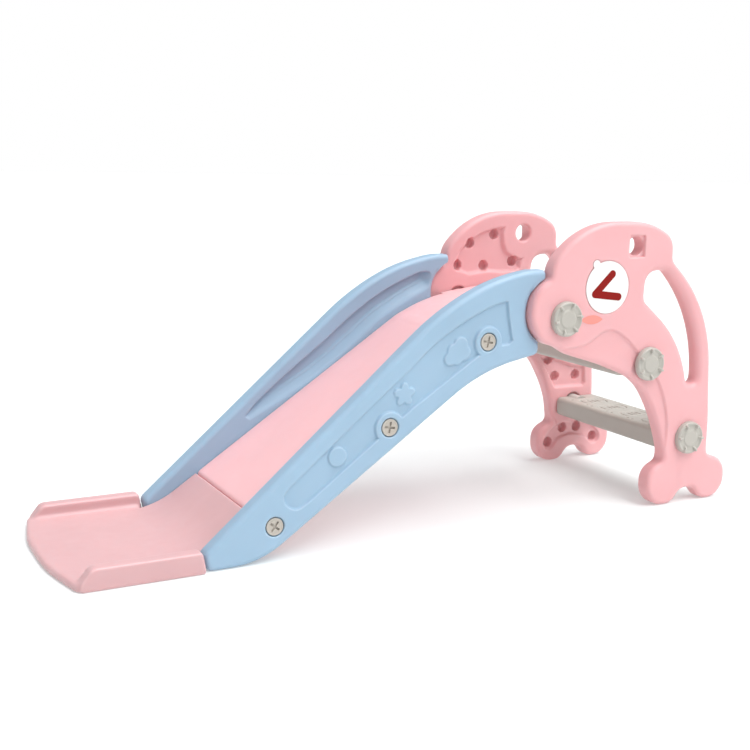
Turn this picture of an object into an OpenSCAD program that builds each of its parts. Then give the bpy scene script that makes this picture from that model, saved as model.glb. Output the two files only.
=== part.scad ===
// Toddler slide: a slide half (bed, run-out and rails) and a step frame (side
// panels and steps) that fold about the two head knobs.
// The slide runs down towards -X, the steps are on +X, and the floor is Z = 0.
// "Left" is the -Y side and "right" is the +Y side, as for a child sliding down.

/* [Side panels] */
// Width over the outer faces of the two side panels
panel_span = 386; // [376:1:400]
// Thickness of a side panel
panel_t = 34; // [30:1:38]
// Height of a side panel
panel_top = 527.5; // [522:0.5:535]
// Radius of the rounded nose that the rails close round
nose_r = 60.3; // [58:0.1:61]

/* [Slide] */
// Width over the outer faces of the two rails
rail_span = 354; // [346:1:356]
// Thickness of a rail
rail_t = 32; // [26:1:32]
// Play between the nose and the hollow end of a rail
nose_play = 1.7; // [1:0.1:3]
// Thickness of the slide bed, square to its surface
bed_t = 44; // [42:1:46]
// Height of the run-out's flat
flat_z = 14; // [13:0.5:16]
// Width of the run-out
run_out_w = 372; // [366:1:376]
// Width of each rim of the run-out
rim_w = 27; // [22:1:30]
// Height of each rim of the run-out
rim_h = 36; // [32:1:40]

/* [Steps] */
// Depth of a step, front to back
step_d = 98; // [90:1:104]
// Thickness of a step
step_t = 38; // [34:1:40]

/* [Knobs and bolts] */
// Diameter of a hand knob
knob_d = 62; // [56:1:66]
// How far a knob's body stands off the panel
knob_h = 12; // [10:0.5:14]
// Diameter of a knob's shank
shank_d = 20; // [18:1:20]
// Diameter of a rail bolt's head
bolt_d = 29; // [26:0.5:32]
// Diameter of a rail bolt's shank
bolt_shank_d = 10; // [8:1:10]

/* [Accessory hole] */
// Diameter of the round hole through each panel's head
hole_d = 34; // [30:0.5:36]
// Depth of the square recess round that hole
recess_d = 6; // [2:0.5:8]

/* [Hidden] */

$fn = 72;
wall = 3;          // wall of every hollow moulding
fit = 0.06;        // radial play of a shank in its bore
slip = 0.3;        // play beside the ramp and its tongue
air = 0.4;         // play between a turning knob and the panel
arc_error = 0.1;   // how far a rounded corner's chords may leave its arc

// Places are [x, z] in the side view, with x from a line just in front of the pivot
// and z from the floor.
pivot = [6, 364];
upper_knob = [195, 273];
lower_knob = [300, 126];
top_bolt = [-138, 329.5];
middle_bolt = [-323, 199.5];
low_bolt = [-525.5, 58.5];
nose = [-1.5, 375.5];
eye = [93.5, 415];
cheek = [63, 359.5];
hole = [156, 485];

// The run-out's front and the foot's heel set the length, which x_mid centres.
front_x = -862;
heel_x = 401;
x_mid = (front_x + heel_x) / 2;

panel_y = panel_span / 2;           // outer face of a side panel
inner_y = panel_y - panel_t;        // inner face of a side panel
rail_y = rail_span / 2;             // outer face of a rail
bed_y = rail_y - rail_t;            // side of the bed, against the rail
ear_y = inner_y - 1.5;              // side of the bed between the panels
ear_x = -38;                        // where the bed widens, past the rails' ends
boss_r = 19;                        // step boss that sits in the panel
boss_in = 8;                        // how far it sits in
socket_r = 15;                      // threaded socket in a step
pivot_socket_r = 12.5;              // threaded socket in the bed
socket_l = 34;
pivot_boss_r = 16;
nut_r = 7;                          // threaded nut behind a rail bolt
nut_l = 22;
head_t = 5;                         // rail bolt head
head_sunk = 1;                      // its face below the rail's face
well_play = 1.6;                    // gap round it in its well
cross = [19, 5, 3];                 // one bar of the cross slot in its face
patch_t = 0.8;                      // eye patch, flush in its recess
print_t = 0.5;                      // eye and cheek prints
tongue_l = 48;                      // tongue of the run-out inside the bed
tongue_t = 22;
tongue_side = 9;                    // bed wall beside the tongue
rail_foot_x = -646;                 // where rim and rail meet

pink = [0.98, 0.77, 0.78];
bed_pink = [0.99, 0.80, 0.82];
blue = [0.67, 0.80, 0.90];
stone = [0.76, 0.74, 0.71];
cream = [0.84, 0.80, 0.75];

// A unit vector
function unit(v) = v / norm(v);
// A corner [x, z, r] between its neighbours, as points on an arc of radius r
function corner(a, b, c) =
    let (p = [b.x, b.y], u = unit([a.x, a.y] - p), v = unit([c.x, c.y] - p),
         half = acos(u * v) / 2, r = b[2])
    r == 0 ? [p] :
    let (o = p + unit(u + v) * r / sin(half),
         s = p + u * r / tan(half) - o, e = p + v * r / tan(half) - o,
         from = atan2(s.y, s.x),
         sweep = (atan2(e.y, e.x) - from + 540) % 360 - 180,
         n = ceil(abs(sweep) / (2 * acos(1 - arc_error / r))))
    [for (i = [0:n]) o + r * [cos(from + sweep * i / n), sin(from + sweep * i / n)]];
// A closed outline from corners [x, z, r], anticlockwise
function rounded(c) =
    let (n = len(c)) [for (i = [0:n - 1]) each corner(c[(i + n - 1) % n], c[i], c[(i + 1) % n])];
// Sharp corners along an arc, for use among others in rounded()
function arc(o, r, from, to, n = 24) =
    [for (i = [0:n]) let (a = from + (to - from) * i / n) [o.x + r * cos(a), o.y + r * sin(a), 0]];
// An anticlockwise outline moved inwards by d
function inset(c, d) =
    let (n = len(c))
    [for (i = [0:n - 1])
        let (u = unit(c[i] - c[(i + n - 1) % n]), v = unit(c[(i + 1) % n] - c[i]), m = unit(u + v))
        c[i] + d * [-m.y, m.x] / (m * u)];
// The point d below a line through p that rises at an angle
function below(p, angle, d) = p + d * [sin(angle), -cos(angle)];

// Side view of a panel: nose, jaw, leg, foot, back of the handle, head
panel_outline = rounded(concat(
    arc(nose, nose_r, 118, 258), [
    [-5, 314.6, 25], [22, 298.5, 60], [95, 276, 300], [183, 241, 115], [234, 156, 280],
    [250, 84, 12], [213, 70, 32], [213, 0, 38],
    [275, 0, 26], [291, 27, 26], [327, 27, 26], [343, 0, 26],
    [heel_x, 0, 38], [heel_x, 74, 36], [353, 86, 14],
    [353, 150, 400], [341, 327, 260], [290.5, 410.5, 238], [241, 457.5, 12],
    [241, 497, 33], [190, panel_top, 142], [46.5, panel_top, 157], [-20, 461, 52],
    [-24, 431.5, 4]]));
// Side view of the handle's slot
slot_outline = rounded([
    [182, 387.5, 14], [274.6, 309.7, 205], [294, 227, 9], [315.6, 227, 9],
    [315.6, 351.6, 270], [226, 441, 16], [184, 437, 24]]);
// Side view of a rail: foot, underside, hollow end, tip, top
rail_outline = rounded(concat(
    [[-637, 0, 8], [-550, 0, 150], [-146, 280, 320], [-33, 302, 8]],
    arc(nose, nose_r + nose_play, 239, 117), [
    [-25.8, 432.6, 4], [-26, 447.7, 8], [-62, 447, 150], [-138, 430.6, 340], [-233, 382, 480],
    [-643, 27, 6]]));

// The bed's surface rises from run_in to crest and then eases off to landing.
run_in = [-628, flat_z];
crest = [-98, 366];
landing = [96, 389.3];
rise = atan2(crest.y - run_in.y, crest.x - run_in.x);
ease = atan2(landing.y - crest.y, landing.x - crest.x);
seam_run = 97;
seam = run_in + seam_run * [cos(rise), sin(rise)];
seam_low = below(seam, rise, bed_t);
crest_low = below(crest, (rise + ease) / 2, bed_t / cos((rise - ease) / 2));
crest_r = 330;
bed_outline = rounded([
    [seam.x, seam.y, 0], [seam_low.x, seam_low.y, 0], [crest_low.x, crest_low.y, crest_r - bed_t],
    [landing.x + 4, landing.y - bed_t + 0.5, 14], [landing.x, landing.y, 16],
    [crest.x, crest.y, crest_r]]);
lift_x = seam_low.x - seam_low.y / tan(rise);
ramp_outline = rounded([
    [rail_foot_x - 30, 0, 0], [lift_x, 0, 80], [seam_low.x, seam_low.y, 0],
    [seam.x, seam.y, 0], [run_in.x, run_in.y, 155], [-700, flat_z, 0], [-700, 0, 0]]);
along = [cos(rise), sin(rise)];
down = [sin(rise), -cos(rise)];
// Side view of the run-out's tongue, or of the space for it in the bed. Its
// centre line runs through the low bolts, and it starts inside the ramp.
function tongue_shape(l, t) =
    let (o = seam + down * ((low_bolt - seam) * down), in_ramp = 30)
    [o - along * in_ramp + down * t / 2, o + along * l + down * t / 2,
     o + along * l - down * t / 2, o - along * in_ramp - down * t / 2];
// Plan of the run-out, with corners of radius r beside the rails
function run_out_plan(r) = rounded([
    [front_x, -70, 400], [front_x + 24, -run_out_w / 2, 24], [rail_foot_x, -run_out_w / 2, r],
    [rail_foot_x, run_out_w / 2, r], [front_x + 24, run_out_w / 2, 24], [front_x, 70, 400]]);

// Draws a side-view shape between two values of y.
module slab(y0, y1)
    translate([-x_mid, y1, 0]) rotate([90, 0, 0]) linear_extrude(y1 - y0) children();
// A round bar across the object at p, between two values of y
module bar(p, r, y0, y1)
    translate([-x_mid + p.x, y1, p.y]) rotate([90, 0, 0]) cylinder(r = r, h = y1 - y0);
// Everything is drawn on the left, and the right side is its mirror image.
module on_right() mirror([0, 1, 0]) children();
module both_sides() {
    children();
    on_right() children();
}

module square_recess(grow = 0)
    translate(hole) square([35, 38] + 2 * [grow, grow], center = true);

// Eye patch with its small tab
module eye_shape(grow = 0) {
    translate(eye) circle(r = 46 + grow);
    translate(eye + [-25.5, 40.5]) circle(r = 7.5 + grow);
}

module panel_cavity() slab(-panel_y + wall + patch_t, -inner_y - wall) difference() {
    polygon(inset(panel_outline, wall));
    polygon(inset(slot_outline, -wall));
    square_recess(wall);
    for (p = [pivot, upper_knob, lower_knob]) translate(p) circle(boss_r + wall);
}

module side_panel() color(pink) difference() {
    slab(-panel_y, -inner_y) polygon(panel_outline);
    slab(-panel_y - 1, -inner_y + 1) polygon(slot_outline);
    panel_cavity();
    for (p = [pivot, upper_knob, lower_knob]) {
        bar(p, shank_d / 2 + fit, -panel_y - 1, -inner_y);
        bar(p, boss_r + fit, -inner_y - boss_in - 1, -inner_y + 1);
    }
    bar(hole, hole_d / 2, -panel_y - 1, -inner_y + 1);
    slab(-panel_y - 1, -panel_y + recess_d) square_recess();
    slab(-panel_y - 1, -panel_y + patch_t) eye_shape(0.1);
}
module left_side_panel() side_panel();
module right_side_panel() on_right() side_panel();

// A step lies 12 mm below its knob's axis and a little behind it.
module step(p) color(stone) difference() {
    top = p.y + 12;
    front = p.x - 44;
    tread = rounded([
        [front, top - step_t, 9], [front + step_d, top - step_t, 9],
        [front + step_d, top, 9], [front, top, 9]]);
    union() {
        slab(-inner_y, inner_y) polygon(tread);
        both_sides() bar(p, boss_r, -inner_y - boss_in, -inner_y + 15);
    }
    difference() {
        slab(-inner_y + wall, inner_y - wall) polygon(inset(tread, wall));
        both_sides() bar(p, socket_r + wall, -inner_y, -inner_y + socket_l + wall);
    }
    both_sides() bar(p, socket_r, -inner_y - boss_in - 1, -inner_y + socket_l - boss_in);
}
module upper_step() step(upper_knob);
module lower_step() step(lower_knob);

module step_sockets(p) color(cream) both_sides() difference() {
    bar(p, socket_r, -inner_y - boss_in, -inner_y + socket_l - boss_in);
    bar(p, shank_d / 2 + fit, -inner_y - boss_in - 1, -inner_y + socket_l - boss_in - 2);
}
module upper_step_sockets() step_sockets(upper_knob);
module lower_step_sockets() step_sockets(lower_knob);

module rail() color(blue) difference() {
    slab(-rail_y, -bed_y) polygon(rail_outline);
    difference() {
        slab(-rail_y + wall, -bed_y - wall) polygon(inset(rail_outline, wall));
        for (p = [top_bolt, middle_bolt, low_bolt])
            bar(p, bolt_d / 2 + well_play + wall, -rail_y, -bed_y);
    }
    for (p = [top_bolt, middle_bolt, low_bolt]) {
        bar(p, bolt_d / 2 + well_play, -rail_y - 1, -rail_y + head_t + head_sunk);
        bar(p, bolt_shank_d / 2 + fit, -rail_y, -bed_y + 1);
    }
}
module left_rail() rail();
module right_rail() on_right() rail();

// The bed is as wide as the gap between the rails, and wider between the panels.
module bed_body(y, ears, thin)
    intersection() {
        slab(-ears + thin, ears - thin) polygon(inset(bed_outline, thin));
        translate([-x_mid, 0, 0]) linear_extrude(panel_top) polygon([
            [-600, -y + thin], [ear_x + thin, -y + thin], [ear_x + thin, -ears], [120, -ears],
            [120, ears], [ear_x + thin, ears], [ear_x + thin, y - thin], [-600, y - thin]]);
    }

module upper_bed() color(bed_pink) difference() {
    union() {
        bed_body(bed_y, ear_y, 0);
        both_sides() bar(pivot, pivot_boss_r, -inner_y - boss_in + 1, -ear_y + 1);
        both_sides() bar(top_bolt, nut_r + 2, -bed_y, -bed_y + nut_l);
    }
    difference() {
        bed_body(bed_y, ear_y, wall);
        slab(-bed_y, bed_y) polygon(tongue_shape(tongue_l + wall, tongue_t + 2 * wall));
        both_sides() {
            bar(pivot, pivot_boss_r, -ear_y, -ear_y + socket_l);
            for (p = [top_bolt, middle_bolt]) bar(p, nut_r + 2, -bed_y, -bed_y + nut_l + 2);
        }
    }
    slab(-bed_y + tongue_side, bed_y - tongue_side)
        polygon(tongue_shape(tongue_l + 0.5, tongue_t + 0.4));
    both_sides() {
        bar(pivot, pivot_socket_r, -inner_y - boss_in, -inner_y + socket_l - boss_in);
        for (p = [top_bolt, middle_bolt]) bar(p, nut_r, -bed_y - 1, -bed_y + nut_l);
        bar(low_bolt, bolt_shank_d / 2 + fit, -bed_y - 1, -bed_y + tongue_side + 1);
    }
}

module rim() slab(-run_out_w / 2, -run_out_w / 2 + rim_w) polygon(rounded([
    [front_x + 28, 0, 0], [rail_foot_x + 6.5, 0, 2], [rail_foot_x - 0.5, rim_h, 5],
    [front_x + 46, rim_h, 14], [front_x + 28, flat_z, 8]]));

module lower_bed() color(bed_pink) difference() {
    ramp_y = bed_y - slip;
    tongue_y = bed_y - tongue_side - slip;
    union() {
        translate([-x_mid, 0, 0]) linear_extrude(flat_z) polygon(run_out_plan(3));
        slab(-ramp_y, ramp_y) polygon(ramp_outline);
        both_sides() rim();
        slab(-tongue_y, tongue_y) polygon(tongue_shape(tongue_l, tongue_t));
    }
    translate([-x_mid, 0, wall]) linear_extrude(flat_z - 2 * wall)
        polygon(inset(run_out_plan(0), 8));
    difference() {
        slab(-ramp_y + wall, ramp_y - wall) intersection() {
            polygon(inset(ramp_outline, wall));
            translate([rail_foot_x + wall, 0]) square(seam_run);
        }
        slab(-ramp_y, ramp_y) polygon(tongue_shape(tongue_l, tongue_t + 2 * wall));
    }
    both_sides() bar(low_bolt, nut_r, -bed_y + tongue_side - 1, -bed_y + tongue_side + nut_l);
}

module pivot_sockets() color(cream) both_sides() difference() {
    bar(pivot, pivot_socket_r, -inner_y - boss_in + 1, -inner_y + socket_l - boss_in);
    bar(pivot, shank_d / 2 + fit, -inner_y - boss_in, -inner_y + socket_l - boss_in - 2);
}

module nut(p, y) difference() {
    bar(p, nut_r, y, y + nut_l);
    bar(p, bolt_shank_d / 2 + fit, y - 1, y + nut_l - 2);
}
module rail_nuts() color(cream) {
    nut(top_bolt, -bed_y);
    nut(middle_bolt, -bed_y);
    nut(low_bolt, -bed_y + tongue_side + slip);
}
module left_rail_nuts() rail_nuts();
module right_rail_nuts() on_right() rail_nuts();

module rail_bolt(p, tip) color(cream) difference() {
    union() {
        bar(p, bolt_d / 2, -rail_y + head_sunk, -rail_y + head_sunk + head_t);
        bar(p, bolt_shank_d / 2, -rail_y + head_sunk, -bed_y + tip);
    }
    translate([-x_mid + p.x, -rail_y + head_sunk, p.y]) rotate([0, 10, 0])
        for (turn = [0, 90]) rotate([0, turn, 0]) cube(cross, center = true);
}
module left_top_rail_bolt() rail_bolt(top_bolt, nut_l - 3);
module left_middle_rail_bolt() rail_bolt(middle_bolt, nut_l - 3);
module left_low_rail_bolt() rail_bolt(low_bolt, tongue_side + nut_l - 3);
module right_top_rail_bolt() on_right() left_top_rail_bolt();
module right_middle_rail_bolt() on_right() left_middle_rail_bolt();
module right_low_rail_bolt() on_right() left_low_rail_bolt();

// A hand knob: flange with a raised middle, six grip ribs and a shank
module knob(p) color(stone) {
    ribs = 6;
    base = -panel_y - air;
    translate([-x_mid + p.x, base, p.y]) rotate([90, 0, 0]) {
        rotate_extrude() polygon([
            [0, 0], [knob_d / 2, 0], [knob_d / 2, knob_h - 5], [knob_d / 2 - 4, knob_h - 2],
            [knob_d / 2 - 13, knob_h - 3], [knob_d / 2 - 17, knob_h], [0, knob_h + 1]]);
        for (i = [0:ribs - 1]) rotate(90 + i * 360 / ribs)
            translate([knob_d / 2 - 13, -2, knob_h - 6]) cube([11, 4, 8]);
    }
    bar(p, shank_d / 2, base - 1, -inner_y + socket_l - boss_in - 4);
}
module left_pivot_knob() knob(pivot);
module right_pivot_knob() on_right() knob(pivot);
module left_upper_step_knob() knob(upper_knob);
module right_upper_step_knob() on_right() knob(upper_knob);
module left_lower_step_knob() knob(lower_knob);
module right_lower_step_knob() on_right() knob(lower_knob);

module eye_patch() color("white") slab(-panel_y, -panel_y + patch_t) eye_shape();
module left_eye_patch() eye_patch();
module right_eye_patch() on_right() eye_patch();

// A winking eye: two round-ended strokes that meet in a point
module eye_mark() color("firebrick") slab(-panel_y - print_t, -panel_y)
    for (tip = [[9.5, 23], [24.5, -17.5]])
        let (start = [-26.7, -11], run = tip - start, stroke = 13.4)
            translate(eye + start) rotate(atan2(run.y, run.x)) {
                translate([0, -stroke / 2]) square([norm(run), stroke]);
                for (end = [0, norm(run)]) translate([end, 0]) circle(d = stroke);
            }
module left_eye_mark() eye_mark();
module right_eye_mark() on_right() eye_mark();

// The cheek is a lens: two arcs that meet in a point at each end.
module cheek_patch() color("lightsalmon") slab(-panel_y - print_t, -panel_y) translate(cheek)
    intersection() {
        translate([0, -29]) circle(37);
        translate([0, 29]) circle(37);
    }
module left_cheek_patch() cheek_patch();
module right_cheek_patch() on_right() cheek_patch();

left_side_panel();
right_side_panel();
upper_step();
lower_step();
left_rail();
right_rail();
upper_bed();
lower_bed();
left_pivot_knob();
right_pivot_knob();
left_upper_step_knob();
right_upper_step_knob();
left_lower_step_knob();
right_lower_step_knob();
left_top_rail_bolt();
left_middle_rail_bolt();
left_low_rail_bolt();
right_top_rail_bolt();
right_middle_rail_bolt();
right_low_rail_bolt();
left_rail_nuts();
right_rail_nuts();
pivot_sockets();
upper_step_sockets();
lower_step_sockets();
left_eye_patch();
right_eye_patch();
left_eye_mark();
right_eye_mark();
left_cheek_patch();
right_cheek_patch();
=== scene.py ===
"""Looks of the toddler slide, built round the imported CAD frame.

The big mouldings are made as distance fields on a block of points, because a blow-moulded
part is all soft edges, pockets and blends. Their outlines come from the CAD nodes.
Side-view places are [x, z] in millimetres: x as in the CAD, where the panels' heels are at
401, and z above the floor.
"left" is the -Y side, and every right-hand piece is the mirror image of its left one.
"""

import functools
import math

import bpy
import numpy as np
import openvdb
from mathutils import Matrix, Vector


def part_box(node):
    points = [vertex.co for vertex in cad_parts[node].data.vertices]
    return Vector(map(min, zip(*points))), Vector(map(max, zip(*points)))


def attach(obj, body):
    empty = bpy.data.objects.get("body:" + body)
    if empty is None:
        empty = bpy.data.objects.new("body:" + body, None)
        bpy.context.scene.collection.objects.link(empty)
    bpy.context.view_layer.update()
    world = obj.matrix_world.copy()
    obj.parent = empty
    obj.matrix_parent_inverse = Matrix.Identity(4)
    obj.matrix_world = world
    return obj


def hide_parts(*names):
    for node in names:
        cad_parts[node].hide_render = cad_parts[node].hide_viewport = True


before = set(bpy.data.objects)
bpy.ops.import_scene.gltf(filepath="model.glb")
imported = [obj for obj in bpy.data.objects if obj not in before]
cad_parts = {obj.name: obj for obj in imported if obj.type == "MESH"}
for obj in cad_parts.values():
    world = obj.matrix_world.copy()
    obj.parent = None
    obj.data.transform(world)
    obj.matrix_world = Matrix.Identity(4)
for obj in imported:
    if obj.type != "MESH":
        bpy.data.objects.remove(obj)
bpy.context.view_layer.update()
HEEL_X = 401
ORIGIN_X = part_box("left_side_panel")[1][0] * 1000 - HEEL_X
COARSE = 1.0

# ---------------------------------------------------------------- sizes, in millimetres
PANEL_EDGE_R = 8.5
SLOT_EDGE_R = 14        # the handle is rounder, for a hand to grip
RAIL_EDGE_R = 9
KNOBS = {"pivot": (6, 364), "upper_step": (195, 273), "lower_step": (300, 126)}
BOLTS = {"top": (-138, 329.5), "middle": (-323, 199.5), "low": (-525.5, 58.5)}
HOLE = (156, 485)       # the accessory hole in the panel's head
EYE = (93.5, 415)
EYE_TAB = (68, 455.5)
NOSE = (-1.5, 375.5)    # the middle of the panel's round nose, which the rail's end closes round
NOSE_R = 62             # the nose, and the play round it


# ---------------------------------------------------------------- points and outlines
class Space:
    """A block of points a step apart, round a CAD node and a few points bigger than it."""

    def __init__(self, node, step):
        low, high = side_view_box(node)
        pad = 3
        self.step = step * COARSE
        self.low = low - pad * self.step
        counts = np.ceil((high - self.low) / self.step).astype(int) + pad + 1
        lines = [self.low[i] + self.step * np.arange(counts[i]) for i in range(3)]
        self.x, self.y, self.z = np.meshgrid(*lines, indexing="ij", sparse=True)
        self.shape = tuple(counts)


def side_view_box(node):
    """A CAD node's two corners [x, y, z], in side-view millimetres."""
    low, high = (np.array(corner) * 1000 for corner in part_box(node))
    return low - [ORIGIN_X, 0, 0], high - [ORIGIN_X, 0, 0]


def cad_mesh(node):
    """A CAD node's corners, in side-view millimetres, and its triangles, with equal corners as one."""
    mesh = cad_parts[node].data
    points = np.array([v.co for v in mesh.vertices]) * 1000 - [ORIGIN_X, 0, 0]
    mesh.calc_loop_triangles()
    triangles = np.array([t.vertices for t in mesh.loop_triangles])
    _, first, same = np.unique(points.round(2), axis=0, return_index=True, return_inverse=True)
    return points[first], same.reshape(-1)[triangles]


def outer_shell(points, triangles):
    """The triangles of the biggest separate surface, which leaves a hollow moulding's inside out."""
    label = np.arange(len(points))
    while True:
        low = label[triangles].min(axis=1)
        new = label.copy()
        np.minimum.at(new, triangles.reshape(-1), np.repeat(low, 3))
        new = new[new]
        if (new == label).all():
            break
        label = new
    shells = label[triangles[:, 0]]
    biggest = max(np.unique(shells), key=lambda s: np.ptp(points[label == s], axis=0).prod())
    return triangles[shells == biggest]


def face_outlines(node, y):
    """The outlines [x, z] of a CAD node's flat face at y, from the largest to the smallest."""
    points, triangles = cad_mesh(node)
    flat = triangles[(abs(points[triangles][:, :, 1] - y) < 0.02).all(axis=1)]
    edges = {(a, b) for t in flat.tolist() for a, b in zip(t, t[1:] + t[:1])}
    follow = {a: b for a, b in edges if (b, a) not in edges}
    outlines = []
    while follow:
        start, point = follow.popitem()
        outline = [start]
        while point != start:
            outline.append(point)
            point = follow.pop(point)
        outlines.append(points[outline][:, [0, 2]])
    return sorted(outlines, key=lambda o: -np.ptp(o, axis=0).prod())


def face_near(node, y):
    """The place of a CAD node's flat face across the slide that is nearest to y."""
    points, _ = cad_mesh(node)
    return min(points[:, 1], key=lambda at: abs(at - y))


def eased(outline, reach=6):
    """A closed outline as evenly spaced points, each the mean of its neighbours within reach."""
    gap = 2.0
    closed = np.vstack([outline, outline[:1]])
    along = np.concatenate([[0], np.cumsum(np.hypot(*np.diff(closed, axis=0).T))])
    places = np.linspace(0, along[-1], int(along[-1] / gap), endpoint=False)
    even = np.column_stack([np.interp(places, along, closed[:, i]) for i in (0, 1)])
    near = range(-round(reach / gap), round(reach / gap) + 1)
    return sum(np.roll(even, shift, axis=0) for shift in near) / len(near)


def flow(points):
    """A smooth curve (a Catmull-Rom spline) through listed points."""
    p = np.array(points, float)
    pieces = 5
    curve = []
    for i in range(len(p) - 1):
        a, b, c, d = p[[max(i - 1, 0), i, i + 1, min(i + 2, len(p) - 1)]]
        for t in np.arange(pieces) / pieces:
            curve.append(0.5 * (2 * b + (c - a) * t + (2 * a - 5 * b + 4 * c - d) * t**2
                                + (3 * b - a - 3 * c + d) * t**3))
    return curve + [p[-1]]


# ---------------------------------------------------------------- distances in a side view
def path_distance(u, v, path, closed=False):
    """How far each point is from a line of straight pieces."""
    path = np.array(path, float)
    ends = np.roll(path, -1, axis=0) if closed else path[1:]
    best = np.full(np.broadcast(u, v).shape, 1e9)
    for a, b in zip(path, ends):
        run = b - a
        if run @ run > 1e-9:
            t = np.clip(((u - a[0]) * run[0] + (v - a[1]) * run[1]) / (run @ run), 0, 1)
            best = np.minimum(best, (u - a[0] - t * run[0]) ** 2 + (v - a[1] - t * run[1]) ** 2)
    return np.sqrt(best)


def outline_distance(u, v, outline):
    """How far each point is from a closed outline: negative inside it."""
    inside = np.zeros(np.broadcast(u, v).shape, bool)
    for a, b in zip(outline, np.roll(np.array(outline), -1, axis=0)):
        if a[1] != b[1]:
            crossed = (a[1] > v) != (b[1] > v)
            inside ^= crossed & (u < a[0] + (v - a[1]) * (b[0] - a[0]) / (b[1] - a[1]))
    distance = path_distance(u, v, outline, closed=True)
    return np.where(inside, -distance, distance)


def from_point(u, v, place):
    """How far each point is from one place."""
    return np.hypot(u - place[0], v - place[1])


def box_distance(u, v, half_u, half_v, r=0):
    """How far each point is from a rectangle about the origin with corners of radius r."""
    du = abs(u) - half_u + r
    dv = abs(v) - half_v + r
    return np.hypot(np.maximum(du, 0), np.maximum(dv, 0)) + np.minimum(np.maximum(du, dv), 0) - r


def inside_by(distance, wall):
    """0 outside an outline and 1 inside it, with a soft wall of the given width just inside."""
    t = np.clip(-distance / wall, 0, 1)
    return t * t * (3 - 2 * t)


def both(a, b, r):
    """The part that two distance fields share, with a rounded edge of radius r where they meet."""
    corner = np.hypot(np.maximum(a + r, 0), np.maximum(b + r, 0))
    return np.minimum(np.maximum(a, b), -r) + corner


def either(a, b, r):
    """Two fields joined, with a fillet of radius r where they meet."""
    return -both(-a, -b, r)


# ---------------------------------------------------------------- meshes
def make_object(name, points, quads, mirrored=False):
    """An object from points in side-view millimetres; mirrored puts it on the other side."""
    points = (points + [ORIGIN_X, 0, 0]) / 1000
    if mirrored:
        points = points * [1, -1, 1]
        quads = quads[:, ::-1]
    mesh = bpy.data.meshes.new(name)
    mesh.from_pydata(points.tolist(), [], quads.tolist())
    mesh.shade_smooth()
    made = bpy.data.objects.new(name, mesh)
    bpy.context.scene.collection.objects.link(made)
    return made


def surface(field, space):
    """Points and quads of the surface where a field is 0."""
    reach = 3 * space.step
    grid = openvdb.FloatGrid(background=reach)
    grid.copyFromArray(np.clip(np.broadcast_to(field, space.shape), -reach, reach).astype(np.float32))
    points, quads = grid.convertToQuads(0.0)
    return space.low + points.astype(float) * space.step, quads.astype(int)


def softened(node, space, convex, concave):
    """The distance field of a CAD node's outside, with its edges and inner corners rounded."""
    points, triangles = cad_mesh(node)
    points = (points - space.low) / space.step
    faces = {"triangles": outer_shell(points, triangles).astype(np.uint32)}
    for shift in (-convex, convex + concave, -concave):
        reach = abs(shift) / space.step + 3
        grid = openvdb.FloatGrid.createLevelSetFromPolygons(
            points.astype(np.float32), halfWidth=reach, **faces)
        points, quads = grid.convertToQuads(shift / space.step)
        faces = {"quads": quads}
    grid = openvdb.FloatGrid.createLevelSetFromPolygons(
        points.astype(np.float32), halfWidth=6, **faces)
    field = np.empty(space.shape, np.float32)
    grid.copyToArray(field)
    return field * space.step


# ---------------------------------------------------------------- side panels
BELLY_LINE = flow([(7, 313), (50, 317), (71, 327), (86, 336), (104, 341), (121, 338), (143, 325),
                   (161, 309), (189, 280), (218, 248), (229, 231), (239, 209), (246, 188),
                   (252, 155), (251, 114), (250, 80)])
BELLY_END = [(150, 60), (60, 200), (-30, 290)]      # closes the belly's outline past the panel's edge
HEAD_POCKET = [(0, 441), (6, 455), (20, 467), (34, 476), (52, 487), (76, 495), (100, 498), (114, 500),
               (110, 485), (112, 465), (120, 449), (136, 439), (152, 435), (162, 438), (154, 425),
               (152, 413), (140, 407), (110, 405), (68, 408), (30, 403), (0, 413), (-8, 425)]
HEAD_DIMPLES = [(5, 424), (33, 466), (90, 483), (67, 421), (135, 428)]
LEG_POCKET = [(210, 228), (250, 158), (325, 157), (330, 164), (327, 200), (299, 203), (262, 217)]
LEG_DIMPLES = [(235, 219), (254, 182), (307, 182)]
FOOT_DIMPLES = [(243, 40), (279, 69), (316, 69), (360, 43)]
LEG_GROOVE = flow([(176, 232), (205, 196), (232, 144), (250, 100), (262, 76)])
FOOT_POCKET = flow([(243, 40), (258, 58), (279, 66), (298, 68), (316, 66), (342, 58), (360, 43)])
FOOT_RIDGE = [(292, 40), (292, 92)]
BELLY_DEPTH = 4.4
BELLY_FADE = 95, 140    # the heights between which the belly's step fades away
HEAD_POCKET_DEPTH, LEG_POCKET_DEPTH, FOOT_POCKET_DEPTH = 8, 7, 6
DIMPLE_R, DIMPLE_DEPTH = 12, 21
HOLE_R = 17
HOLE_RECESS = 17.5, 19  # half its length and half its height
HOLE_RECESS_DEPTH = 6
EYE_R, EYE_TAB_R, EYE_DEPTH = 47.2, 8.7, 1.8
SOCKET_R, SOCKET_DEPTH = 19.2, 8
KNOB_BORE_R = 10.2


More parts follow.
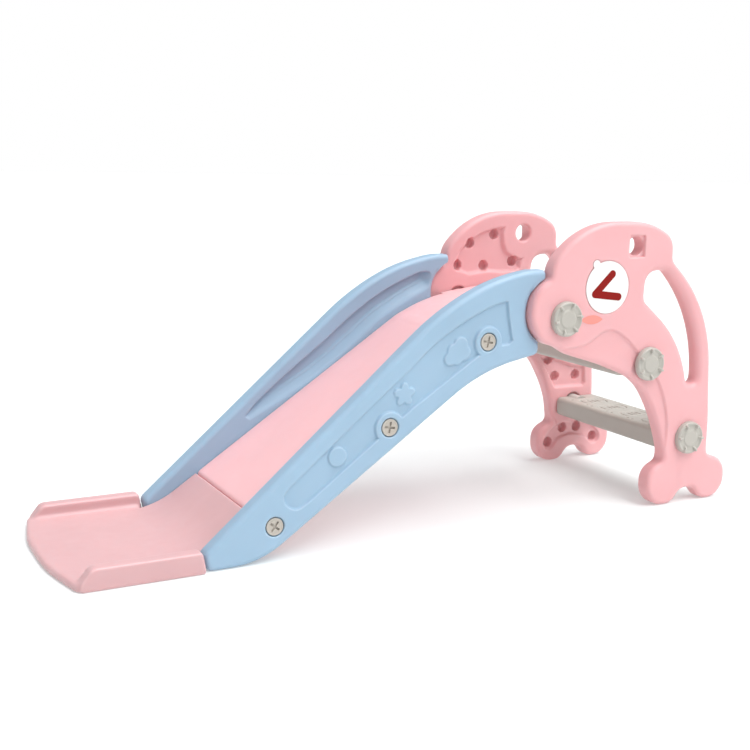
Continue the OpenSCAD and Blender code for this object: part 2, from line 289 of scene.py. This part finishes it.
def side_panel():
    s = Space("left_side_panel", 1.8)
    outer_y, inner_y = (side_view_box("left_side_panel")[i][1] for i in (0, 1))
    outline, slot = (eased(o) for o in face_outlines("left_side_panel", inner_y)[:2])
    plan = outline_distance(s.x, s.z, outline)

    # the outer face: the belly lies lower than the head, and the foot has a faint middle ridge
    belly = outline_distance(s.x, s.z, BELLY_LINE + BELLY_END)
    fade = inside_by(BELLY_FADE[0] - s.z, BELLY_FADE[1] - BELLY_FADE[0])
    outer = BELLY_DEPTH * inside_by(belly, 4.5) * fade
    ridge = inside_by(path_distance(s.x, s.z, FOOT_RIDGE) - 16, 16)
    outer = outer - 1.2 * ridge * inside_by(s.z - FOOT_RIDGE[1][1], 30)

    # the inner face: pockets that stiffen the wall, dimples that reach for the other face,
    # a groove down the leg and a shallow ring round the hole
    head = inside_by(outline_distance(s.x, s.z, HEAD_POCKET), 7)
    leg = inside_by(outline_distance(s.x, s.z, LEG_POCKET) - 1, 6)
    foot = inside_by(path_distance(s.x, s.z, FOOT_POCKET) - 17, 5)
    inner = np.maximum(HEAD_POCKET_DEPTH * head, LEG_POCKET_DEPTH * leg)
    inner = np.maximum(inner, FOOT_POCKET_DEPTH * foot)
    for place in HEAD_DIMPLES + LEG_DIMPLES + FOOT_DIMPLES:
        dimple = inside_by(from_point(s.x, s.z, place) - DIMPLE_R, 3)
        inner = np.maximum(inner, DIMPLE_DEPTH * dimple)
    inner = inner + 2.2 * inside_by(path_distance(s.x, s.z, LEG_GROOVE) - 4, 4)
    inner = inner + 2.0 * inside_by(from_point(s.x, s.z, HOLE) - (HOLE_R + 3), 2.5)

    faces = np.maximum(outer_y + outer - s.y, s.y - inner_y + inner)
    field = both(plan, faces, PANEL_EDGE_R)
    field = both(field, -outline_distance(s.x, s.z, slot), SLOT_EDGE_R)
    field = both(field, HOLE_R - from_point(s.x, s.z, HOLE), 1.5)
    square = box_distance(s.x - HOLE[0], s.z - HOLE[1], *HOLE_RECESS, 2)
    field = both(field, -np.maximum(square, s.y - outer_y - HOLE_RECESS_DEPTH), 1)
    eye = np.minimum(from_point(s.x, s.z, EYE) - EYE_R, from_point(s.x, s.z, EYE_TAB) - EYE_TAB_R)
    field = both(field, -np.maximum(eye, s.y - outer_y - EYE_DEPTH), 0.6)
    for place in KNOBS.values():
        away = from_point(s.x, s.z, place)
        seat = np.maximum(inner_y - SOCKET_DEPTH - s.y, away - SOCKET_R)
        field = np.maximum(both(field, -seat, 1), KNOB_BORE_R - away)
    return surface(field, s)


# ---------------------------------------------------------------- rails
RAIL_TOP = [(-501, 119.5), (-340, 252.5), (-294.5, 288), (-249, 328), (-204, 358), (-158, 381),
            (-124, 394), (-101, 398)]
RAIL_POCKET = (flow(RAIL_TOP) + [(-98, 375), (-92, 345), (-88, 329), (-96, 323), (-120, 320), (-158, 306),
               (-281, 228), (-345, 181), (-470, 89)]
               + flow([(-481, 83), (-490, 81), (-502, 86), (-510, 96), (-511, 107)]))
CLOUD_PUFFS = [((-211, 305), 12), ((-203, 318), 14), ((-191, 328), 14), ((-185, 314), 14),
               ((-198, 306), 12)]
RECESS_TOP = flow([(-451, 163), (-422, 193), (-360, 243), (-297, 290), (-235, 340), (-172, 381),
                   (-110, 409), (-86, 416), (-70, 416)])
RECESS_LOW = flow([(-61, 408), (-60, 397), (-70, 381), (-110, 362), (-172, 327), (-235, 278), (-297, 231),
                   (-360, 194), (-441, 153)])
POCKET_DEPTH = 5.2
BOLT_CLEAR_R = 25       # the pocket stays this far off the two bolts beside it
RECESS_DEPTH = 14
MARK_HEIGHT = 3.6
DOT, DOT_R = (-416.5, 160), 17
STAR, STAR_R = (-296, 252), 20
TIP_Z, TIP_HALF_HEIGHT = 424, 23.3      # the rail's high end, beside the panel's head
WELL_R, WELL_DEPTH = 16.2, 6.2
BOLT_BORE_R = 5.2


def star_distance(u, v, r):
    """A plump star: five round points on a round middle."""
    middle_r, point_r = 0.66 * r, 0.36 * r
    star = np.hypot(u, v) - middle_r
    for point in range(5):
        angle = math.radians(90 + 72 * point)
        place = middle_r * math.cos(angle), middle_r * math.sin(angle)
        star = either(star, from_point(u, v, place) - point_r, 0.1 * r)
    return star


def rail():
    s = Space("left_rail", 1.4)
    outer_y, inner_y = (side_view_box("left_rail")[i][1] for i in (0, 1))
    outline = eased(face_outlines("left_rail", outer_y)[0])
    tip_x = outline[:, 0].max()
    low_tip_x = outline[outline[:, 1] < NOSE[1], 0].max()
    plan = outline_distance(s.x, s.z, outline)
    # the outline runs on over the nose and past the tip, so that no soft edge forms there
    beyond_tip = np.maximum(abs(s.x - tip_x) - 30, abs(s.z - TIP_Z) - TIP_HALF_HEIGHT)
    over_nose = from_point(s.x, s.z, NOSE) - (NOSE_R + 4)
    plan = np.minimum(plan, np.minimum(over_nose, beyond_tip))

    # the outer face: a pocket with raised marks in it, which goes round two of the bolts
    pocket = outline_distance(s.x, s.z, RAIL_POCKET)
    for name in ("top", "middle"):
        pocket = np.maximum(pocket, BOLT_CLEAR_R - from_point(s.x, s.z, BOLTS[name]))
    outer = POCKET_DEPTH * inside_by(pocket, 3.2)
    cloud = functools.reduce(lambda a, b: either(a, b, 1.5),
                             [from_point(s.x, s.z, place) - r for place, r in CLOUD_PUFFS])
    star = star_distance(s.x - STAR[0], s.z - STAR[1], STAR_R)
    for mark in (from_point(s.x, s.z, DOT) - DOT_R, star, cloud):
        outer = outer - MARK_HEIGHT * inside_by(mark - 0.5, 2.4)

    # the inner face: a recess that slopes in from its low edge, with a low ridge along it
    top = path_distance(s.x, s.z, RECESS_TOP)
    low = path_distance(s.x, s.z, RECESS_LOW)
    recess = inside_by(outline_distance(s.x, s.z, RECESS_TOP + RECESS_LOW), 3.5)
    inner = RECESS_DEPTH * recess * inside_by(-low, 26)
    inner = inner - 1.4 * recess * inside_by(abs(low - 21) - 3, 3) * inside_by(12 - top, 12)

    faces = np.maximum(outer_y + outer - s.y, s.y - inner_y + inner)
    field = both(plan, faces, RAIL_EDGE_R)
    # the end that closes round the panel's nose has crisper edges than the rest
    field = both(field, NOSE_R - from_point(s.x, s.z, NOSE), 2.5)
    field = both(field, s.x - np.where(s.z > NOSE[1], tip_x, low_tip_x), 4)
    for place in BOLTS.values():
        away = from_point(s.x, s.z, place)
        well = np.maximum(s.y - outer_y - WELL_DEPTH, away - WELL_R)
        field = np.maximum(both(field, -well, 1.4), BOLT_BORE_R - away)
    return surface(field, s)


# ---------------------------------------------------------------- bed and run-out
PIVOT_BOSS_R = 13.5
BOSS_ROOT = 8           # how far a boss's root is inside the bed's side face
BOSS_BITE_R = 16.5
RIM_TOP = 36
RIM_LEAN = 0.1


def upper_bed():
    s = Space("upper_bed", 2.2)
    side_y = face_near("upper_bed", side_view_box("left_rail")[1][1])
    ear_y = face_near("upper_bed", side_view_box("left_side_panel")[1][1])
    beside_rails = face_outlines("upper_bed", side_y)[0]
    between_panels = face_outlines("upper_bed", ear_y)[0]
    # the boss bites into this face's outline, so the points round it are left out
    off_boss = from_point(*between_panels.T, KNOBS["pivot"]) > BOSS_BITE_R
    between_panels = between_panels[off_boss]
    ear_x = between_panels[:, 0].min()
    profile = eased(joined(beside_rails, between_panels, ear_x), reach=10)
    plan = outline_distance(s.x, s.z, profile)
    # the end at the run-out is cut off straight again, because easing rounded its corners
    seam = beside_rails[beside_rails[:, 0] < beside_rails[:, 0].min() + 30]
    seam = seam[np.argsort(seam[:, 1])]
    foot, head = seam[0], seam[-1]
    across = (s.z - foot[1]) * (head[0] - foot[0]) - (s.x - foot[0]) * (head[1] - foot[1])
    plan = np.maximum(plan, across / math.dist(foot, head))
    body = both(plan, abs(s.y) + side_y + 0.3, 3)
    ears = both(np.maximum(plan, ear_x - s.x), abs(s.y) + ear_y, 4)
    boss_y = side_view_box("upper_bed")[0][1]
    boss_ends = np.maximum(abs(s.y) + boss_y, -ear_y - BOSS_ROOT - abs(s.y))
    bosses = np.maximum(from_point(s.x, s.z, KNOBS["pivot"]) - PIVOT_BOSS_R, boss_ends)
    return surface(np.minimum(np.minimum(body, ears), bosses), s)


def joined(left, right, at_x):
    """Two outlines that share an upright edge at at_x, as one without that edge."""
    halves = []
    for outline in (left, right):
        on_edge = abs(outline[:, 0] - at_x) < 0.1
        start = next(i for i in range(len(outline)) if on_edge[i - 1] and not on_edge[i])
        outline = np.roll(outline, -start, axis=0)
        halves.append(outline[abs(outline[:, 0] - at_x) >= 0.1])
    return np.vstack(halves)


def lower_bed():
    s = Space("lower_bed", 1.8)
    field = softened("lower_bed", s, 3.5, 5)
    # the rims' outer faces lean in a little towards the floor
    half_width = side_view_box("lower_bed")[1][1]
    field = both(field, abs(s.y) - half_width + RIM_LEAN * (RIM_TOP - s.z), 3)
    # the ramp keeps a crisp end against the bed
    side_y = face_near("lower_bed", side_view_box("left_rail")[1][1])
    ramp = outline_distance(s.x, s.z, face_outlines("lower_bed", side_y)[0])
    return surface(np.minimum(field, both(ramp, abs(s.y) + side_y, 3)), s)


# ---------------------------------------------------------------- steps
TREAD_ABOVE_KNOB = 12
GRIP_DEPTH = 2.4
GRIP_GAP = 64           # from one grip mark to the next, across the slide
GRIP_RING = 26, 18      # half its length and half its width
GRIP_BARS = -10, 0, 10
GRIP_DOTS = (-36, -25), (-36, 25), (36, -25), (36, 25)


def step(node):
    """A step, with grip marks: a ring round three bars, and a dot off each of its corners."""
    s = Space(node, 1.3)
    field = softened(node, s, 2.5, 2)
    low, high = side_view_box(node)
    tread_z = KNOBS[node][1] + TREAD_ABOVE_KNOB
    u = s.x - (low[0] + (high[0] - low[0]) / 2)
    groove = np.full(s.shape[:2] + (1,), 1e9)
    for number in (-1.5, -0.5, 0.5, 1.5):
        v = s.y - number * GRIP_GAP
        groove = np.minimum(groove, abs(box_distance(u, v, *GRIP_RING, 12)) - 1.7)
        for across in GRIP_BARS:
            groove = np.minimum(groove, box_distance(u - across, v, 2, 10, 2))
        for dot in GRIP_DOTS:
            groove = np.minimum(groove, from_point(u, v, dot) - 3)
    field = both(field, -np.maximum(groove, tread_z - GRIP_DEPTH - s.z), 0.6)
    return surface(field, s)


# ---------------------------------------------------------------- knobs and bolts
KNOB_R, KNOB_THICK, KNOB_DRAFT = 31, 9.5, 0.12
KNOB_SHANK_R = 10
HUB_R, HUB_HEIGHT, DISH_DEPTH = 16, 1.3, 1.8
FINS, FIN_AT = 6, 22.6  # the fins' middles are this far out
FIN_BOX = 6, 2          # half a fin's length and half its width
FIN_LOW, FIN_RISE = 7, 6.8
BOLT_HEAD_R, BOLT_HEAD_THICK, BOLT_SHANK_R = 14.5, 5, 5
BOLT_SLOT = 9.5, 1.7    # half its length and half its width
BOLT_SLOT_DEPTH = 4.4
BOLT_SLOT_TILT = -10    # how far the cross slot is turned, in degrees


def knob():
    """The left head knob, with its shank."""
    s = Space("left_pivot_knob", 0.8)
    back_y = side_view_box("left_pivot_knob")[1][1]
    base_y = face_near("left_pivot_knob", side_view_box("left_side_panel")[0][1])
    radius = from_point(s.x, s.z, KNOBS["pivot"])
    out = base_y - s.y
    disc = both(radius - KNOB_R + KNOB_DRAFT * out, out - KNOB_THICK, 3.5)
    dish = DISH_DEPTH * inside_by(radius - (KNOB_R - 3), 5) * inside_by(HUB_R - 3 - radius, 5)
    hub = HUB_HEIGHT * inside_by(radius - HUB_R, 5)
    disc = np.maximum(disc, out - KNOB_THICK + dish - hub)

    # the fins rise outwards; every point is turned about the middle to lie near one of them
    angle = np.arctan2(s.z - KNOBS["pivot"][1], s.x - KNOBS["pivot"][0])
    share = math.tau / FINS
    turn = (angle - math.pi / 2 + share / 2) % share - share / 2
    along, across = radius * np.cos(turn), radius * np.sin(turn)
    fin_top = out - FIN_LOW - FIN_RISE * inside_by(HUB_R + 0.5 - along, 7)
    fin = both(box_distance(along - FIN_AT, across, *FIN_BOX, 1.2), fin_top, 1)
    disc = np.maximum(either(disc, fin, 0.8), -out)

    shank = np.maximum(radius - KNOB_SHANK_R, np.maximum(base_y - 1 - s.y, s.y - back_y))
    return surface(np.minimum(disc, shank), s)


def bolt():
    """The left top rail bolt, with its shank."""
    s = Space("left_top_rail_bolt", 0.7)
    (_, front_y, _), (_, back_y, _) = side_view_box("left_top_rail_bolt")
    u, v = s.x - BOLTS["top"][0], s.z - BOLTS["top"][1]
    radius = np.hypot(u, v)
    out = s.y - front_y
    half = BOLT_HEAD_THICK / 2
    head = both(radius - BOLT_HEAD_R, abs(out - half) - half, 1.2)
    # a shallow dish inside the head's rim, and the cross slot
    head = both(head, -np.maximum(radius - (BOLT_HEAD_R - 2.5), out - 0.6), 0.4)
    tilt = math.radians(BOLT_SLOT_TILT)
    p, q = u * math.cos(tilt) + v * math.sin(tilt), v * math.cos(tilt) - u * math.sin(tilt)
    cross = np.minimum(box_distance(p, q, *BOLT_SLOT, 0.7), box_distance(q, p, *BOLT_SLOT, 0.7))
    head = both(head, -np.maximum(cross, out - BOLT_SLOT_DEPTH), 0.3)
    shank = np.maximum(radius - BOLT_SHANK_R, np.maximum(BOLT_SLOT_DEPTH - out, s.y - back_y))
    return surface(np.minimum(head, shank), s)


def placed(points, home, place, turn):
    """Points moved from one [x, z] to another and turned by so many degrees, as seen from the side."""
    angle = math.radians(turn)
    u, v = points[:, 0] - home[0], points[:, 2] - home[1]
    return np.column_stack([place[0] + u * math.cos(angle) - v * math.sin(angle), points[:, 1],
                            place[1] + u * math.sin(angle) + v * math.cos(angle)])


# ---------------------------------------------------------------- materials
SET_BRIGHTNESS = 1.22   # how much more light the set gives an upright face than a plain white sky


def linear(r, g, b):
    """The linear colour of an upright surface that the set shows as these screen values, of 255."""
    def channel(c):
        c /= 255
        return (c / 12.92 if c <= 0.04045 else ((c + 0.055) / 1.055) ** 2.4) / SET_BRIGHTNESS
    return (channel(r), channel(g), channel(b), 1)


def plastic(name, colour, rough=(0.36, 0.5), grain=0.12, tint=0.06, edge=0.10, soft=0.0, gloss=0.5):
    """Moulded plastic: a faint cloudy tint, a fine orange-peel skin and sharp outer edges painted
    slightly paler, a painted highlight.
    """
    material = bpy.data.materials.new(name)
    material.use_nodes = True
    nodes, links = material.node_tree.nodes, material.node_tree.links
    shader = nodes["Principled BSDF"]
    shader.inputs["IOR"].default_value = 1.46
    shader.inputs["Specular IOR Level"].default_value = gloss
    if soft:
        shader.inputs["Subsurface Weight"].default_value = soft
        shader.inputs["Subsurface Radius"].default_value = (1.0, 0.45, 0.4)
        shader.inputs["Subsurface Scale"].default_value = 0.008
    where = nodes.new("ShaderNodeTexCoord")

    def noise(scale, detail):
        node = nodes.new("ShaderNodeTexNoise")
        node.inputs["Scale"].default_value = scale
        node.inputs["Detail"].default_value = detail
        links.new(where.outputs["Object"], node.inputs["Vector"])
        return node.outputs["Fac"]

    def mix(factor, a, b):
        node = nodes.new("ShaderNodeMix")
        node.data_type = "RGBA"
        links.new(factor, node.inputs["Factor"])
        # the node has its sockets once for each type of data: these are the colours
        for socket, value in ((node.inputs[6], a), (node.inputs[7], b)):
            if isinstance(value, tuple):
                socket.default_value = value
            else:
                links.new(value, socket)
        return node.outputs[2]

    def spread(value, low, high, out_low, out_high):
        node = nodes.new("ShaderNodeMapRange")
        links.new(value, node.inputs["Value"])
        node.inputs["From Min"].default_value = low
        node.inputs["From Max"].default_value = high
        node.inputs["To Min"].default_value = out_low
        node.inputs["To Max"].default_value = out_high
        return node.outputs["Result"]

    def bumped(height, strength, distance):
        node = nodes.new("ShaderNodeBump")
        node.inputs["Strength"].default_value = strength
        node.inputs["Distance"].default_value = distance
        links.new(height, node.inputs["Height"])
        return node

    darker = tuple(c * (1 - tint) for c in colour[:3]) + (1,)
    cloud = spread(noise(7, 3), 0.3, 0.7, 0, 1)
    base = mix(cloud, darker, colour)
    geometry = nodes.new("ShaderNodeNewGeometry")
    # painted highlight: the sharper an outer edge (the higher its pointiness), the more its colour is
    # mixed towards a paler one; edge sets how much
    edge_highlight = spread(geometry.outputs["Pointiness"], 0.51, 0.58, 0, edge * 4)
    highlight_colour = tuple(c + (1 - c) * 0.35 for c in colour[:3]) + (1,)
    base = mix(edge_highlight, base, highlight_colour)
    links.new(base, shader.inputs["Base Color"])
    links.new(spread(noise(45, 4), 0.3, 0.7, *rough), shader.inputs["Roughness"])
    skin = bumped(noise(1100, 2), grain, 0.0006)
    swell = bumped(noise(28, 2), 0.12, 0.0015)
    links.new(skin.outputs["Normal"], swell.inputs["Normal"])
    links.new(swell.outputs["Normal"], shader.inputs["Normal"])
    return material


PINK = plastic("panel_pink", linear(252, 190, 193), soft=0.3)
BED_PINK = plastic("bed_pink", linear(262, 206, 209), soft=0.3)
# the run-out's pink is darker than the bed's: partly its own slightly darker moulding, partly painted
# shade for its low rim faces
RUN_OUT_PINK = plastic("run_out_pink", linear(228, 182, 184), soft=0.3)
BLUE = plastic("rail_blue", linear(168, 198, 222), soft=0.2)
STONE = plastic("step_stone", linear(194, 190, 181))
KNOB_STONE = plastic("knob_stone", linear(199, 194, 185), rough=(0.3, 0.42))
CREAM = plastic("bolt_cream", linear(198, 189, 178), rough=(0.25, 0.36), grain=0.05)
WHITE = plastic("eye_white", linear(255, 253, 250), rough=(0.25, 0.35), grain=0.04, tint=0.02)
RED = plastic("eye_red", linear(150, 20, 12), rough=(0.5, 0.6), grain=0.04, edge=0, gloss=0.2)
BLUSH = plastic("cheek_blush", linear(255, 160, 148), rough=(0.4, 0.5), grain=0.05, edge=0)


# ---------------------------------------------------------------- putting it together
def add(node, shape, material, body, mirrored=False):
    """Makes a piece from a shape, which takes its CAD node's place and moves with its body."""
    piece = make_object(node + "_moulded", *shape, mirrored=mirrored)
    piece.data.materials.append(material)
    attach(piece, body)
    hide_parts(node)
    return piece


SIDES = ("left", False), ("right", True)        # with whether its pieces are mirrored
KNOB_TURNS = {"pivot": 40, "upper_step": 3, "lower_step": 27}       # degrees from a fin pointing up
BOLT_TURNS = {"top": -3, "middle": 0, "low": -28}
CARRIED = {"eye_patch": WHITE, "eye_mark": RED, "cheek_patch": BLUSH, "nuts": CREAM, "sockets": STONE}

panel_shape = side_panel()
rail_shape = rail()
for side, mirrored in SIDES:
    add(side + "_side_panel", panel_shape, PINK, "step_frame", mirrored)
    add(side + "_rail", rail_shape, BLUE, "slide", mirrored)
add("upper_bed", upper_bed(), BED_PINK, "slide")
add("lower_bed", lower_bed(), RUN_OUT_PINK, "slide")
for node in ("upper_step", "lower_step"):
    add(node, step(node), STONE, "step_frame")

knob_points, knob_quads = knob()
bolt_points, bolt_quads = bolt()
for side, mirrored in SIDES:
    for name, place in KNOBS.items():
        node = f"{side}_{name}_knob"
        shape = placed(knob_points, KNOBS["pivot"], place, KNOB_TURNS[name]), knob_quads
        add(node, shape, KNOB_STONE, node, mirrored)
    for name, place in BOLTS.items():
        shape = placed(bolt_points, BOLTS["top"], place, BOLT_TURNS[name]), bolt_quads
        add(f"{side}_{name}_rail_bolt", shape, CREAM, "slide", mirrored)

# the plain small pieces show as the CAD made them
for node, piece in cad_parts.items():
    for ending, material in CARRIED.items():
        if node.endswith(ending):
            piece.data.materials.clear()
            piece.data.materials.append(material)

# ---------------------------------------------------------------- floor, light and camera
FLOOR_HALF = 30         # metres, and so are the rest of the set's sizes
WALL_SIDES, WALL_R, WALL_HEIGHT = 48, 29, 5
FOCAL_LENGTH, SENSOR_WIDTH = 56.11, 36      # millimetres
CAMERA_AT = ORIGIN_X / 1000 - 1.2053, -1.8076, 0.6401
CAMERA_TURN = 27.593, 10.791, 0.938         # yaw, downward pitch and roll, in degrees


def stage(name, points, faces, paint_name, colour, glow, specular, rough):
    """A piece of the set, in a paint that also glows."""
    mesh = bpy.data.meshes.new(name)
    mesh.from_pydata(points, [], faces)
    piece = bpy.data.objects.new(name, mesh)
    bpy.context.scene.collection.objects.link(piece)
    paint = bpy.data.materials.new(paint_name)
    paint.use_nodes = True
    inputs = paint.node_tree.nodes["Principled BSDF"].inputs
    inputs["Base Color"].default_value = colour + (1,)
    inputs["Roughness"].default_value = rough
    inputs["Specular IOR Level"].default_value = specular
    inputs["Emission Color"].default_value = (1, 1, 1, 1)
    inputs["Emission Strength"].default_value = glow
    mesh.materials.append(paint)


def ring_wall():
    """A wall right round the floor, which hides the horizon: its points and faces."""
    angles = np.arange(WALL_SIDES) * math.tau / WALL_SIDES
    ring = [(WALL_R * math.cos(a), WALL_R * math.sin(a)) for a in angles]
    points = [(x, y, z) for z in (0, WALL_HEIGHT) for x, y in ring]
    faces = []
    for i in range(WALL_SIDES):
        after = (i + 1) % WALL_SIDES
        faces.append((i, after, after + WALL_SIDES, i + WALL_SIDES))
    return points, faces


def sun(name, place, strength, spread):
    """A sun that shines from a place towards the origin, as wide as a spread in degrees."""
    data = bpy.data.lights.new(name, "SUN")
    data.energy = strength
    data.angle = math.radians(spread)
    lamp = bpy.data.objects.new(name, data)
    lamp.location = place
    lamp.rotation_mode = "QUATERNION"
    lamp.rotation_quaternion = (-Vector(place)).to_track_quat("-Z", "Y")
    bpy.context.scene.collection.objects.link(lamp)


floor_points = [(x * FLOOR_HALF, y * FLOOR_HALF, 0) for x, y in ((-1, -1), (1, -1), (1, 1), (-1, 1))]
stage("floor", floor_points, [(0, 1, 2, 3)], "floor_paint", (0.63, 0.655, 0.65),
      glow=0.28, specular=0.2, rough=0.7)
stage("wall", *ring_wall(), "wall_glow", (0, 0, 0), glow=1.0, specular=0, rough=0.5)

world = bpy.data.worlds.new("studio")
bpy.context.scene.world = world
world.use_nodes = True
world.node_tree.nodes["Background"].inputs["Color"].default_value = (0.94, 0.97, 1, 1)
world.node_tree.nodes["Background"].inputs["Strength"].default_value = 0.48
sun("sky_panel", (0.9, -0.35, 3), 2.5, spread=50)
sun("front_panel", (0.5, -1.3, 1.6), 1.4, spread=35)

camera_data = bpy.data.cameras.new("camera")
camera_data.sensor_width = SENSOR_WIDTH
camera_data.lens = FOCAL_LENGTH
camera = bpy.data.objects.new("camera", camera_data)
bpy.context.scene.collection.objects.link(camera)
bpy.context.scene.camera = camera
yaw, pitch, roll = (math.radians(a) for a in CAMERA_TURN)
ahead = Vector((math.sin(yaw) * math.cos(pitch), math.cos(yaw) * math.cos(pitch), -math.sin(pitch)))
right = Vector((math.cos(yaw), -math.sin(yaw), 0))
up = right.cross(ahead)
tilted_right = right * math.cos(roll) + up * math.sin(roll)
tilted_up = up * math.cos(roll) - right * math.sin(roll)
turned = Matrix((tilted_right, tilted_up, -ahead)).transposed().to_4x4()
camera.matrix_world = Matrix.Translation(CAMERA_AT) @ turned

bpy.context.scene.view_settings.view_transform = "Standard"
